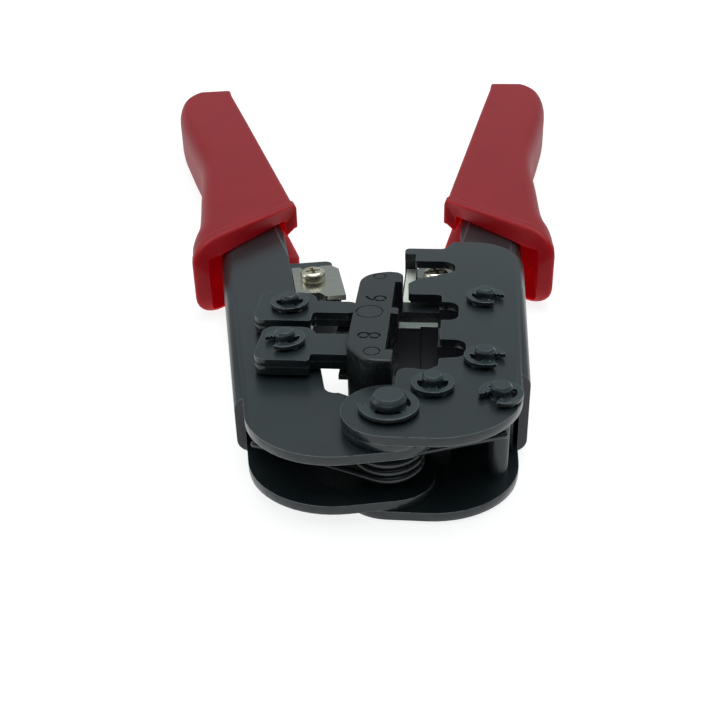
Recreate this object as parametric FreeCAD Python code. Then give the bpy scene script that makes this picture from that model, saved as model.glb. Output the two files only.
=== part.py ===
import FreeCAD, Part
import math
import os

# Hand crimping tool for modular telephone and network plugs, in millimetres.
#
# Row frame: the origin is the middle of the main pivot pin's flat head, in the
# plane on which the tool rests. +Z runs along the pin to the clip side. +Y runs
# from the pivot towards the ends of the grips, along the centre line of the closed
# tool. +X is the direction in which the punches press, towards the right frame.
#
# Heights below count from the middle of the right frame's thickness; save() lifts
# every node by MIDDLE_HEIGHT. The right half is drawn where it stands. The left
# half and everything it carries is drawn as it stands when the tool is closed,
# then turned open.

Vec = FreeCAD.Vector
os.makedirs("parts", exist_ok=True)

# ---------------------------------------------------------------- dimensions
SHEET = 1.4                 # frame sheet thickness
BEND = 2.2                  # outside radius of the frame bends
OPEN_ANGLE = 13.0           # left half at rest, turned open from closed
RUNNING = 0.05              # radial clearance of a pin that turns

RIGHT_TOP = 6.8             # right head: faces of the top and bottom plates
RIGHT_BOTTOM = -6.8
INNER_TOP = 4.2             # left frame, and both frames inside the grips
INNER_BOTTOM = -5.3

PIVOT_LOBE_R = 6.6          # rounded lobe of each frame around the main pin
WALL_FRONT_Y = 11.0         # front end of both side walls
MAIN_PIN_R = 2.5
SMALL_PIN_R = 1.5
HEAD_THICKNESS = 0.5        # flat heads under the frames
MIDDLE_HEIGHT = HEAD_THICKNESS - RIGHT_BOTTOM   # right frame's middle above the rest plane
MAIN_PIN_TOP = 9.3
SMALL_PIN_TOP = 9.0
CLIP_THICKNESS = 0.6
CLIP_LIFT = 0.4             # clip above the plate below it
MAIN_CLIP_R = 4.2
SMALL_CLIP_R = 3.1
MAIN_GROOVE_R = 1.9
SMALL_GROOVE_R = 1.15
GROOVE_SLACK = 0.05         # of a groove above and below its clip

# Pins of the right frame: place and direction in which the clip opens.
BACK_DIE_PIN = (13.6, 35.2)
FRONT_DIE_PIN = (13.2, 14.5)
GUIDE_PIN = (5.8, 6.2)
STOP_PIN = (15.3, 4.0)

# Plug pockets: widths along Y of the eight-way and six-way plugs.
CENTRE_8P_Y = 17.5          # centre line of the eight-way pocket and punch
CENTRE_6P_Y = 30.3
POCKET_8P_W = 11.8
POCKET_6P_W = 9.75
POCKET_WALL_X = -1.3        # contact side of both pockets
ARM_END_X = -0.1
HOLDER_LEFT_X = -7.2
HOLDER_FRONT_Y = 8.2
HOLDER_BACK_Y = 39.6
HOLDER_TOP = 9.8
NUMERAL_STROKE = 0.4
ANVIL_X = 6.1               # latch side of both pockets
TOOTH_X = 6.5
BAR_TOP = RIGHT_TOP + 0.5   # bar between the pockets

# Links: laminated plates from the left frame to the punches.
LINK_BOTTOM = 4.8
LINK_SHEET = 1.235
LINK_SEAM = 0.03            # between the two plates of a link
LINK_TOP = LINK_BOTTOM + 2 * LINK_SHEET + LINK_SEAM
LINK_PIN_8P = (-17.0, CENTRE_8P_Y)       # at rest
LINK_PIN_6P = (-18.3, CENTRE_6P_Y)
LINK_8P_LENGTH = 10.0
LINK_6P_LENGTH = 9.4
PUNCH_PIN_R = 1.1
PUNCH_TOP = LINK_BOTTOM - 0.2
PUNCH_LUG = 0.8             # thickness of the punch's back end, under the link
PUNCH_PIN_PLAY = 0.25       # play of the link hole around the punch pin
TONGUE_NOSE = 1.8           # link metal past the punch pin

# Cutting and stripping blades.
BLADE_SHEET = 1.0
SHEAR_GAP = 0.1             # between the faces of the crossing blades
SCREW_HEAD_R = 2.25
SCREW_HEAD_H = 1.7
SCREW_SHANK_R = 1.25
LEFT_SCREW = (-5.8, 50.5)   # closed position
RIGHT_SCREW = (5.1, 51.2)
TAB_Y = (42.2, 60.4)        # left blade tab, front and back edge

# Grips.
GRIP_TOP = 7.5
GRIP_BOTTOM = -MIDDLE_HEIGHT
GRIP_END_Y = 182.0
GUARD_HOLLOW_Z = (-6.2, 4.6)    # room in the flared guard
GUARD_SLOT_Z = (-4.0, 2.5)      # slot in the guard's inner wall
HANDLE_END_Y = 166.0
LEFT_GRIP_OFFSET = 0.4      # the left frame is this much wider than the right
GRIP_CLEARANCE = 0.05


# ------------------------------------------------------------------- helpers
def outline(corners):
    """Closed wire through corners (x, y) or (x, y, rounding radius)."""
    count = len(corners)
    edges = []
    starts = []
    ends = []
    arcs = []
    for i, corner in enumerate(corners):
        here = Vec(corner[0], corner[1], 0)
        before = Vec(*corners[i - 1][:2], 0) - here
        after = Vec(*corners[(i + 1) % count][:2], 0) - here
        radius = corner[2] if len(corner) > 2 else 0
        if radius == 0:
            starts.append(here)
            ends.append(here)
            arcs.append(None)
            continue
        before.normalize()
        after.normalize()
        half = before.getAngle(after) / 2
        reach = radius / math.tan(half)
        bisector = before + after
        bisector.normalize()
        middle = here + bisector * (radius / math.sin(half) - radius)
        starts.append(here + before * reach)
        ends.append(here + after * reach)
        arcs.append(middle)
    for i in range(count):
        if arcs[i] is not None:
            edges.append(Part.Arc(starts[i], arcs[i], ends[i]).toShape())
        following = starts[(i + 1) % count]
        if (following - ends[i]).Length > 1e-4:
            edges.append(Part.makeLine(ends[i], following))
    return Part.Wire(edges)


def plate(corners, bottom, top):
    """Flat plate with the given outline between two heights."""
    face = Part.Face(outline(corners))
    face.translate(Vec(0, 0, bottom))
    return face.extrude(Vec(0, 0, top - bottom))


def block(x, y, z):
    """Box from three (low, high) pairs."""
    size = [high - low for low, high in (x, y, z)]
    return Part.makeBox(*size, Vec(x[0], y[0], z[0]))


def rod(place, radius, bottom, top):
    """Upright cylinder."""
    return Part.makeCylinder(radius, top - bottom, Vec(place[0], place[1], bottom))


def union(shapes):
    """One solid from touching shapes."""
    whole = shapes[0].fuse(list(shapes[1:]))
    return whole.removeSplitter()


def round_edges(shape, radius, wanted):
    """Fillet the edges whose middle point passes the test."""
    edges = []
    for edge in shape.Edges:
        first, last = edge.ParameterRange
        if wanted(edge.valueAt((first + last) / 2)):
            edges.append(edge)
    return shape.makeFillet(radius, edges)


def turned(shape, degrees, place=(0, 0)):
    """Copy turned about an upright axis, anticlockwise seen from above."""
    copy = shape.copy()
    copy.rotate(Vec(place[0], place[1], 0), Vec(0, 0, 1), degrees)
    return copy


def turned_point(place, degrees):
    """Point turned about the main pivot."""
    angle = math.radians(degrees)
    x = place[0] * math.cos(angle) - place[1] * math.sin(angle)
    y = place[0] * math.sin(angle) + place[1] * math.cos(angle)
    return (x, y)


def opened(shape):
    """Left-half shape moved from the closed to the rest position."""
    return turned(shape, OPEN_ANGLE)


def save(name, shapes):
    """Write one node; several solids become one group."""
    solids = []
    for shape in shapes:
        solids.extend(shape.Solids)
    if not solids:
        raise ValueError(name + " holds no solid")
    for solid in solids:
        if not solid.isValid():
            raise ValueError(name + " is not a valid solid")
    whole = solids[0] if len(solids) == 1 else Part.makeCompound(solids)
    whole.translate(Vec(0, 0, MIDDLE_HEIGHT))
    whole.exportStep("parts/" + name + ".step")


# ------------------------------------------------------------ shared outlines
def pivot_lobe(front_y):
    """Corners of the rounded lobe, to the left of the main pin."""
    radius = PIVOT_LOBE_R
    return [(-radius, radius, radius), (-radius, front_y, radius)]


def handle_corners(end_y):
    """Part of the right frame that the grip covers, from above."""
    inner_slope = 0.113
    inner_x = 9.5
    outer_x = 21.9
    straight_y = 80.0
    end_inner = inner_x + (end_y - straight_y) * inner_slope
    end_outer = end_inner + 9.0
    return [(inner_x, 56.0), (20.9, 56.0), (outer_x, 90.0),
            (end_outer, end_y, 3.0), (end_inner, end_y, 3.0), (inner_x, straight_y)]


def handle_hollow(end_y):
    """Space between the handle plates, open towards the centre line."""
    outer = handle_corners(end_y + 4.0)
    return [(0, 50.0), (outer[1][0] - SHEET, 50.0), (outer[1][0] - SHEET, outer[1][1]),
            (outer[2][0] - SHEET, outer[2][1]), (outer[3][0] - SHEET, end_y + 4.0),
            (0, end_y + 4.0)]


def mirrored(corners, shift=0.0):
    """Outline of the right half as the left half in its closed position."""
    return [(-corner[0] - shift, *corner[1:]) for corner in corners]


# --------------------------------------------------------------- right frame
def right_head_corners():
    """Stamped outline of the head plates, with both latch recesses."""
    recess_8p = (15.0, 20.9)
    recess_6p = (27.5, 34.1)
    front_y = -6.7
    return pivot_lobe(front_y) + [
        (18.5, front_y, 12.8), (18.5, WALL_FRONT_Y, 0.3), (19.9, WALL_FRONT_Y), (21.2, 62.0, 9.0),
        (9.0, 62.0),
        (6.6, 56.7, 1.5), (-0.7, 56.7, 0.9), (-0.7, 54.1, 0.2), (1.4, 54.1, 0.3),
        (1.4, 50.9, 0.4), (8.6, 50.9, 2.3), (8.6, 46.6, 1.6), (2.0, 42.9, 1.2),
        (0.6, 41.2, 0.8), (0.8, 36.9, 0.8), (TOOTH_X, 36.9, 0.9),
        (TOOTH_X, recess_6p[1], 0.4), (9.3, recess_6p[1], 1.8),
        (9.3, recess_6p[0], 1.8), (TOOTH_X, recess_6p[0], 0.3),
        (TOOTH_X, recess_8p[1], 0.3), (10.5, recess_8p[1], 1.7),
        (10.5, recess_8p[0] + 0.5, 2.0), (TOOTH_X, recess_8p[0] - 0.2, 0.3),
        (TOOTH_X - 0.1, 12.6, 0.6), (4.8, 11.1, 1.5), (2.6, 11.6, 1.4),
        (0.5, 11.6, 1.5), (0.5, PIVOT_LOBE_R)]


def right_frame():
    """Outer channel: two head plates, side wall, stepped-down handle."""
    head = plate(right_head_corners(), RIGHT_BOTTOM, RIGHT_TOP)

    def on_bend(point):
        beside = point.x > 18.9 and point.y > WALL_FRONT_Y
        behind = point.y > 56.0 and point.x > 9.5
        return abs(point.z) == RIGHT_TOP and (beside or behind)

    head = round_edges(head, BEND, on_bend)
    hollow = [(-12.0, -12.0), (30.0, -12.0), (30.0, WALL_FRONT_Y), (19.9 - SHEET, WALL_FRONT_Y),
              (20.95 - SHEET, 62.0 - SHEET, 9.0 - SHEET), (7.8, 62.0 - SHEET), (7.8, 70.0), (-12.0, 70.0)]
    head = head.cut(plate(hollow, RIGHT_BOTTOM + SHEET, RIGHT_TOP - SHEET))
    handle = plate(handle_corners(HANDLE_END_Y), INNER_BOTTOM, INNER_TOP)
    handle = round_edges(handle, BEND, lambda p: p.x > 20.0 and p.z in (INNER_BOTTOM, INNER_TOP))
    handle = handle.cut(block((0, 40), (50, 62.0 - SHEET), (-10, 10)))
    frame = union([head, handle, blade_ledge()])
    frame = frame.cut(plate(handle_hollow(HANDLE_END_Y), INNER_BOTTOM + SHEET, INNER_TOP - SHEET)
                      .cut(block((-1, 40), (49, 61), (-4, 2.2))))
    holes = [rod((0, 0), MAIN_PIN_R, -20, 20)]
    holes += [rod(place, SMALL_PIN_R, -20, 20)
              for place in (BACK_DIE_PIN, FRONT_DIE_PIN, GUIDE_PIN, STOP_PIN)]
    holes.append(rod(RIGHT_SCREW, SCREW_SHANK_R, 0, 3))
    return frame.cut(holes)


def blade_ledge():
    """Shelf for the fixed blade with its upturned post at the left end."""
    top = ledge_top()
    shelf = block((-0.75, 19.5), (44.8, 58.0), (top - SHEET, top))
    lip = block((-0.75, 0.1), (46.8, 56.6), (RIGHT_BOTTOM + SHEET, top))
    post = block((-0.75, 1.5), (55.9, 56.6), (RIGHT_BOTTOM + SHEET, RIGHT_TOP - SHEET))
    return union([shelf, lip, post])


def ledge_top():
    """Height of the right blade's seat."""
    return INNER_TOP - 2 * BLADE_SHEET - SHEAR_GAP


# ---------------------------------------------------------------- left frame
def left_handle_corners():
    """Part of the left frame that the grip covers, closed position."""
    corners = mirrored(handle_corners(HANDLE_END_Y), LEFT_GRIP_OFFSET)
    inner_x = corners[0][0] + LEFT_GRIP_OFFSET
    corners[0] = (inner_x, 56.0)
    corners[1] = (-22.1, 56.0)
    corners[5] = (inner_x, 80.0)
    return corners


def left_frame_corners():
    """Outline of both left plates without the blade tabs, closed position."""
    handle = left_handle_corners()
    inner_x = handle[0][0]
    front_y = 0.2 - PIVOT_LOBE_R
    return [
        (-19.65, front_y, 13.0), (PIVOT_LOBE_R, front_y, PIVOT_LOBE_R - 0.2),
        (PIVOT_LOBE_R, PIVOT_LOBE_R, PIVOT_LOBE_R), (-2.2, PIVOT_LOBE_R),
        (-3.3, 7.6, 0.6), (-5.0, 9.2), (-5.8, 9.9), (-7.7, 9.9, 1.8), (-7.5, TAB_Y[0], 1.0),
        (inner_x, TAB_Y[0] + 1.4, 0.5), handle[5], handle[4], handle[3], handle[2], handle[1],
        (-21.05, WALL_FRONT_Y), (-19.65, WALL_FRONT_Y, 0.3)]


def left_hollow():
    """Space between the left plates, open towards the centre line."""
    handle = mirrored(handle_corners(HANDLE_END_Y + 4.0), LEFT_GRIP_OFFSET)
    end_y = HANDLE_END_Y + 4.0
    return [(12.0, -12.0), (-30.0, -12.0), (-30.0, WALL_FRONT_Y), (-21.05 + SHEET, WALL_FRONT_Y),
            (-22.1 + SHEET, 56.0), (handle[2][0] + SHEET, handle[2][1]),
            (handle[3][0] + SHEET, end_y), (12.0, end_y)]


def left_tab_corners():
    """Blade tab: it reaches back under the plate that it is joggled from."""
    right_x = -1.5
    return [(-11.0, TAB_Y[0] + 0.6), (-7.6, TAB_Y[0], 0.6), (right_x, TAB_Y[0], 1.2),
            (right_x, TAB_Y[1], 1.3), (-11.0, TAB_Y[1])]


def left_frame():
    """Inner channel: two plates, side wall, blade tabs and handle."""
    frame = plate(left_frame_corners(), INNER_BOTTOM, INNER_TOP)

    def on_bend(point):
        return point.x < -20.7 and point.y > WALL_FRONT_Y and point.z in (INNER_BOTTOM, INNER_TOP)

    frame = round_edges(frame, BEND, on_bend)
    frame = frame.cut(plate(left_hollow(), INNER_BOTTOM + SHEET, INNER_TOP - SHEET))
    tab_top = INNER_TOP - BLADE_SHEET
    tab_bottom = INNER_BOTTOM + BLADE_SHEET
    tabs = [plate(left_tab_corners(), tab_top - SHEET, tab_top),
            plate(left_tab_corners(), tab_bottom, tab_bottom + SHEET)]
    frame = union([frame] + tabs)
    closed_8p = turned_point(LINK_PIN_8P, -OPEN_ANGLE)
    closed_6p = turned_point(LINK_PIN_6P, -OPEN_ANGLE)
    holes = [rod((0, 0), MAIN_PIN_R + RUNNING, -20, 20),
             rod(closed_8p, SMALL_PIN_R, -20, 20), rod(closed_6p, SMALL_PIN_R, -20, 20),
             rod(LEFT_SCREW, SCREW_SHANK_R, -20, 20)]
    return opened(frame.cut(holes))


# --------------------------------------------------------- pins, clips, rings
def pin(place, radius, groove_r, bottom, top, groove_z):
    """Grooved pin with a flat head and a bevelled end."""
    bevel = radius * 0.22
    tip = Part.makeCone(radius, radius - bevel, bevel, Vec(place[0], place[1], top - bevel))
    shank = rod(place, radius, bottom, top - bevel).fuse(tip)
    head = rod(place, radius * 1.6, bottom - HEAD_THICKNESS, bottom)
    low = groove_z - GROOVE_SLACK
    high = groove_z + CLIP_THICKNESS + GROOVE_SLACK
    groove = ring(place, radius + 1, groove_r, low, high)
    return union([shank, head]).cut(groove)


def clip(place, outer_r, groove_r, bottom, opening):
    """E-clip: ring with a flared mouth and three lugs that sit in the groove."""
    top = bottom + CLIP_THICKNESS
    relief_r = outer_r * 0.72
    inner_r = groove_r + 0.02
    lug_half = outer_r * 0.21
    body = ring((0, 0), outer_r, relief_r, bottom, top)
    back_lug = block((-relief_r - 0.2, -inner_r * 0.6), (-lug_half, lug_half), (bottom, top))
    front_lugs = block((outer_r * 0.1, outer_r * 0.5), (-relief_r, relief_r), (bottom, top))
    whole = union([body, back_lug, front_lugs])
    throat = groove_r * 0.92
    flare = outer_r * 0.6
    mouth = plate([(0, -throat), (outer_r * 0.5, -throat), (outer_r, -flare),
                   (outer_r, flare), (outer_r * 0.5, throat), (0, throat)], bottom, top)
    whole = whole.cut([rod((0, 0), inner_r, bottom, top), mouth])
    whole = turned(whole, opening)
    whole.translate(Vec(place[0], place[1], 0))
    return whole


def ring(place, outer_r, inner_r, bottom, top):
    """Flat washer."""
    return rod(place, outer_r, bottom, top).cut(rod(place, inner_r, bottom - 1, top + 1))


def right_pin(place):
    """Small pin through both plates of the right head."""
    groove_z = RIGHT_TOP + CLIP_LIFT
    return pin(place, SMALL_PIN_R, SMALL_GROOVE_R, RIGHT_BOTTOM, SMALL_PIN_TOP, groove_z)


def right_clip(place, opening):
    """Clip of a right-hand pin."""
    return clip(place, SMALL_CLIP_R, SMALL_GROOVE_R, RIGHT_TOP + CLIP_LIFT, opening)


def link_pin(place):
    """Pin through the left frame that carries a link."""
    groove_z = LINK_TOP + CLIP_LIFT
    return pin(place, SMALL_PIN_R, SMALL_GROOVE_R, INNER_BOTTOM, SMALL_PIN_TOP + 0.5, groove_z)


# ------------------------------------------------------------- torsion spring
def tangent_angle(foot, radius, side):
    """Direction, in degrees, of the coil point where a straight leg meets it."""
    distance = math.hypot(*foot)
    return math.degrees(math.atan2(foot[1], foot[0]) + side * math.acos(radius / distance))


def torsion_spring():
    """Coil around the main pin; one leg on the left wall, one on the stop pin."""
    wire_r = 0.6
    coil_r = 4.5
    pitch = 1.25
    turns = 3
    step = 20.0
    low = -1.75
    left_foot = (-19.7, 3.2)
    right_foot = (STOP_PIN[0] + 0.6, STOP_PIN[1] - SMALL_PIN_R - wire_r - 0.1)
    first = tangent_angle(left_foot, coil_r, 1) - 360
    last = tangent_angle(right_foot, coil_r, -1) + 360 * turns
    count = round((last - first) / step)
    coil = []
    for i in range(count + 1):
        degrees = first + (last - first) * i / count
        angle = math.radians(degrees)
        height = low + pitch * (degrees - first) / 360
        coil.append(Vec(coil_r * math.cos(angle), coil_r * math.sin(angle), height))
    start = Vec(*left_foot, low)
    end = Vec(*right_foot, coil[-1].z)
    points = [start, (start + coil[0]) / 2] + coil + [(coil[-1] + end) / 2, end]
    curve = Part.BSplineCurve()
    curve.interpolate(points)
    path = Part.Wire([curve.toShape()])
    circle = Part.makeCircle(wire_r, points[0], points[1] - points[0])
    return path.makePipeShell([Part.Wire(circle)], True, False)


# ---------------------------------------------------------- plug holder, anvil
def holder_corners():
    """Spine of the plug holder from above."""
    return [(HOLDER_LEFT_X, 12.6, 4.0), (-3.9, HOLDER_FRONT_Y, 3.0), (ARM_END_X, HOLDER_FRONT_Y, 0.3),
            (ARM_END_X, HOLDER_BACK_Y - 0.5, 1.5), (-2.6, HOLDER_BACK_Y, 3.0),
            (HOLDER_LEFT_X, HOLDER_BACK_Y - 1.6, 4.0)]


def pocket(centre_y, width):
    """Room for a plug, open to the top and the bottom."""
    return block((POCKET_WALL_X, 40), (centre_y - width / 2, centre_y + width / 2), (-20, 20))


def punch_window(centre_y, width, slot):
    """Passage for a punch below and its link above, right through the spine."""
    body = block((-20, 2), (centre_y - width / 2, centre_y + width / 2), (-3.7, LINK_BOTTOM - 0.1))
    tongue = block((-20, 2), (centre_y + slot[0], centre_y + slot[1]),
                   (LINK_BOTTOM - 0.2, LINK_TOP + 0.15))
    return body.fuse(tongue)


def plug_holder():
    """Casting with both pockets; its arms reach in between the head plates."""
    spine = plate(holder_corners(), RIGHT_BOTTOM + SHEET, HOLDER_TOP)
    spine = round_edges(spine, 0.4, lambda p: p.z == HOLDER_TOP)
    half = RIGHT_TOP - SHEET
    front_arm = plate([(-0.5, HOLDER_FRONT_Y), (3.4, HOLDER_FRONT_Y, 0.5), (3.4, 4.2, 0.8), (8.6, 4.2, 1.0),
                       (8.6, 9.0, 0.8), (17.6, 9.0), (17.6, 11.4), (-0.5, 11.4)], -half, half)
    back_edge = CENTRE_6P_Y + POCKET_6P_W / 2 + 0.1
    back_arm = plate([(-0.5, back_edge), (10.6, back_edge), (10.6, 32.6, 0.8), (17.8, 32.6),
                      (17.8, HOLDER_BACK_Y - 0.5, 1.0), (-0.5, HOLDER_BACK_Y - 0.5)],
                     -half, half - 1.2)
    whole = union([spine, front_arm, back_arm])
    behind_anvil = block((10.6, 40), (30, 45), (-20, 20))
    cuts = [pocket(CENTRE_8P_Y, POCKET_8P_W), pocket(CENTRE_6P_Y, POCKET_6P_W).cut(behind_anvil)]
    cuts.append(punch_window(CENTRE_8P_Y, 9.6, (-3.6, 5.4)))
    cuts.append(punch_window(CENTRE_6P_Y, 7.8, (-2.4, 4.4)))
    cuts.append(block((-9, -5.7), (34.0, 42), (LINK_BOTTOM - 0.2, LINK_TOP + 0.15)))
    cuts.append(rod((0, 0), PIVOT_LOBE_R + 0.35, -20, 20))
    cuts.append(rod(GUIDE_PIN, SMALL_PIN_R, -20, 20))
    cuts.append(rod(BACK_DIE_PIN, SMALL_PIN_R, -20, 20))
    return whole.cut(cuts + top_marks())


def top_marks():
    """Ejector circles and the two contact numerals, sunk in the holder's top."""
    depth = 0.3
    low = HOLDER_TOP - depth
    high = HOLDER_TOP + 1
    middle_y = (CENTRE_8P_Y + CENTRE_6P_Y) / 2
    circles = (((-4.6, middle_y), 2.2), ((-4.0, 37.3), 1.1), ((-3.2, 11.0), 1.3))
    marks = [ring(place, radius, radius - 0.22, low, high) for place, radius in circles]
    offset = -1.6
    return marks + numeral_8(CENTRE_8P_Y + offset, low, high) + numeral_6(CENTRE_6P_Y + offset, low, high)


def numeral_8(centre_y, low, high):
    """Two loops, one above the other; the numeral's top points to -X."""
    radius = 1.0
    return [ring((x, centre_y), radius, radius - NUMERAL_STROKE, low, high) for x in (-4.8, -3.2)]


def numeral_6(centre_y, low, high):
    """Loop with a curved stem; the numeral's top points to -X."""
    radius = 1.1
    sweep = 1.5
    loop_x = -3.3
    loop = ring((loop_x, centre_y), radius, radius - NUMERAL_STROKE, low, high)
    stem = ring((loop_x, centre_y + sweep), radius + sweep, radius + sweep - NUMERAL_STROKE, low, high)
    kept = block((loop_x - 5, loop_x), (centre_y - 5, centre_y + 0.7), (low, high))
    return [loop, stem.common(kept)]


def latch_anvil():
    """Steel block behind the plug latches, with the bar between the pockets."""
    half = RIGHT_TOP - SHEET
    body = plate([(ANVIL_X, 11.5), (17.8, 11.5), (17.8, 32.5), (10.5, 32.5), (10.5, 35.2), (ANVIL_X, 35.2),
                  (ANVIL_X, 34.1), (9.6, 34.1, 1.8), (9.6, 27.4, 1.8), (ANVIL_X, 27.4), (ANVIL_X, 21.0),
                  (10.9, 21.0, 1.8), (10.9, 14.9, 1.8), (ANVIL_X, 14.9)], -half, half)
    front = CENTRE_8P_Y + POCKET_8P_W / 2
    back = CENTRE_6P_Y - POCKET_6P_W / 2
    bar = plate([(ARM_END_X, front), (3.4, front), (3.4, front + 0.6), (ANVIL_X + 1, front + 0.6),
                 (ANVIL_X + 1, back), (ARM_END_X, back)], -half, BAR_TOP)
    rise = block((ANVIL_X, 12), (0, 50), (half, 20))
    return union([body, bar.cut(rise)]).cut(rod(FRONT_DIE_PIN, SMALL_PIN_R, -20, 20))


# ------------------------------------------------------------ links and punches
def link_corners(pin_place, half_w, left, right, tongue_half, nose_x):
    """Link outline at rest: wide part at the pin, tongue towards the holder."""
    x, y = pin_place
    nose_r = min(TONGUE_NOSE, tongue_half) - 0.1
    return [(x - left, y - half_w, 2.0), (x + right, y - half_w, 0.5), (x + right, y - tongue_half, 0.5),
            (nose_x, y - tongue_half, nose_r), (nose_x, y + tongue_half, nose_r),
            (x + right, y + tongue_half), (x + right, y + half_w, 2.8), (x - left, y + half_w, 2.0)]


def link(pin_place, length, half_w, left, right, tongue_half):
    """Two plates riveted one on the other; the upper one closes the punch pin's hole."""
    nose_x = pin_place[0] + length + TONGUE_NOSE
    corners = link_corners(pin_place, half_w, left, right, tongue_half, nose_x)
    lower = plate(corners, LINK_BOTTOM, LINK_BOTTOM + LINK_SHEET)
    upper = plate(corners, LINK_TOP - LINK_SHEET, LINK_TOP)
    hole = rod(pin_place, SMALL_PIN_R + RUNNING, 0, 20)
    punch_hole = rod((pin_place[0] + length, pin_place[1]), PUNCH_PIN_R + PUNCH_PIN_PLAY, 0, 20)
    return [lower.cut([hole, punch_hole]), upper.cut(hole)]


def punch(centre_y, width, tip_x, back_x, contacts):
    """Carrier with a flat lug for the punch pin and one thin tooth per contact."""
    tooth_pitch = 1.02
    tooth_w = 0.45
    tooth_length = 1.2
    low = -3.6
    body_back = min(HOLDER_LEFT_X + 0.4, tip_x - tooth_length - 2.0)
    across = (centre_y - width / 2, centre_y + width / 2)
    body = block((body_back, tip_x - tooth_length), across, (low, PUNCH_TOP))
    lug = block((back_x, body_back + 1.0), across, (PUNCH_TOP - PUNCH_LUG, PUNCH_TOP))
    teeth = []
    for i in range(contacts):
        y = centre_y + (i - (contacts - 1) / 2) * tooth_pitch
        teeth.append(block((tip_x - tooth_length - 0.1, tip_x), (y - tooth_w / 2, y + tooth_w / 2),
                           (low + 0.6, PUNCH_TOP - 0.6)))
    return union([body, lug] + teeth)


def punch_pin(place):
    """Short pin on the punch that the hole in the link's lower plate pulls and pushes."""
    low = PUNCH_TOP - PUNCH_LUG + 0.2
    return rod(place, PUNCH_PIN_R, low, LINK_BOTTOM + LINK_SHEET - 0.1)


# ---------------------------------------------------------------------- blades
def left_blade_corners():
    """Notched cutting blade, cutting edge on the right."""
    edge_x = -0.7
    return [(-9.3, 45.0, 0.3), (-6.7, 44.6, 0.4), (-5.2, 44.6, 0.8), (-4.2, 42.8, 0.6), (edge_x, 42.8),
            (edge_x, 54.4), (-1.9, 56.1, 0.3), (-4.0, 56.1, 0.2), (-4.7, 54.9, 0.3), (-7.1, 54.9, 0.3),
            (-7.8, 56.1, 0.2), (-9.3, 56.1, 0.3)]


def left_blade(bottom, edge_back):
    """Blade on a left tab; the stripping blade's edge stands further back."""
    blade = plate(left_blade_corners(), bottom, bottom + BLADE_SHEET)
    if edge_back > 0:
        blade = blade.cut(block((-edge_back, 5), (40, 60), (-20, 20)))
    return opened(blade.cut(rod(LEFT_SCREW, SCREW_SHANK_R + 0.15, -20, 20)))


def right_blade():
    """Fixed blade on the ledge of the right frame, cutting edge on the left."""
    low = ledge_top()
    high = low + BLADE_SHEET
    edge_x = -0.4
    blade = plate([(edge_x, 40.2), (0.9, 40.2), (0.9, 45.0), (2.5, 46.6), (9.0, 46.6, 0.4),
                   (9.0, 57.6, 0.4), (1.7, 57.6), (1.7, 55.7), (edge_x, 55.7)], low, high)
    return blade.cut(rod(RIGHT_SCREW, SCREW_SHANK_R + 0.15, -20, 20))


def screw(place, seat, length, side):
    """Cross-recess pan-head screw; side is +1 for a head on top, -1 below."""
    head = Part.makeCylinder(SCREW_HEAD_R, SCREW_HEAD_H, Vec(0, 0, 0))
    head = round_edges(head, 0.8, lambda p: p.z == SCREW_HEAD_H)
    shank = Part.makeCylinder(SCREW_SHANK_R, length, Vec(0, 0, -length))
    recess = []
    for angle in (0, 90):
        recess.append(turned(block((-1.3, 1.3), (-0.28, 0.28), (SCREW_HEAD_H - 1.0, 5)), angle + 20))
    whole = union([head, shank]).cut(recess)
    if side < 0:
        whole.rotate(Vec(0, 0, 0), Vec(1, 0, 0), 180)
    whole.translate(Vec(place[0], place[1], seat))
    return whole


# ----------------------------------------------------------------------- grips
def grip_corners():
    """Right grip from above: straight inside, swelling outside, flared guard."""
    return [(5.7, 84.0, 2.0), (5.9, 75.0, 1.0), (8.3, 73.0), (8.6, 79.8), (26.8, 61.9, 2.5),
            (27.8, 69.0, 5.0), (25.9, 77.5, 10.0), (25.3, 110.0, 40.0), (29.7, 141.0, 60.0),
            (32.8, 168.0, 35.0), (29.6, GRIP_END_Y, 8.0), (17.9, GRIP_END_Y, 1.8), (6.8, 86.0, 20.0)]


def guard_hollow_corners():
    """Hollow of the right guard around the frame."""
    return [(8.3, 55.0), (24.3, 55.0), (24.3, 69.0, 2.0), (22.5, 76.0, 2.0), (9.3, 84.0, 1.0),
            (8.3, 76.0)]


def guard_slot_corners():
    """Slot from the rim back through the guard's inner wall."""
    return [(0, 55.0), (9.6, 55.0), (9.6, 97.0), (0, 97.0)]


def grip(sleeve, handle, hollow, slot):
    """Soft sleeve over a handle, hollow and slotted at the guard; all outlines."""
    whole = plate(sleeve, GRIP_BOTTOM, GRIP_TOP)
    room = Part.Face(outline(handle).makeOffset2D(GRIP_CLEARANCE))
    room.translate(Vec(0, 0, INNER_BOTTOM - GRIP_CLEARANCE))
    room = room.extrude(Vec(0, 0, INNER_TOP - INNER_BOTTOM + 2 * GRIP_CLEARANCE))
    return whole.cut([room, plate(hollow, *GUARD_HOLLOW_Z), plate(slot, *GUARD_SLOT_Z)])


def right_grip():
    """Grip of the right handle."""
    return grip(grip_corners(), handle_corners(HANDLE_END_Y),
                guard_hollow_corners(), guard_slot_corners())


def left_grip():
    """Grip of the left handle: the same outlines, mirrored and opened."""
    shift = LEFT_GRIP_OFFSET
    return opened(grip(mirrored(grip_corners(), shift), left_handle_corners(),
                       mirrored(guard_hollow_corners(), shift), mirrored(guard_slot_corners(), shift)))


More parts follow.
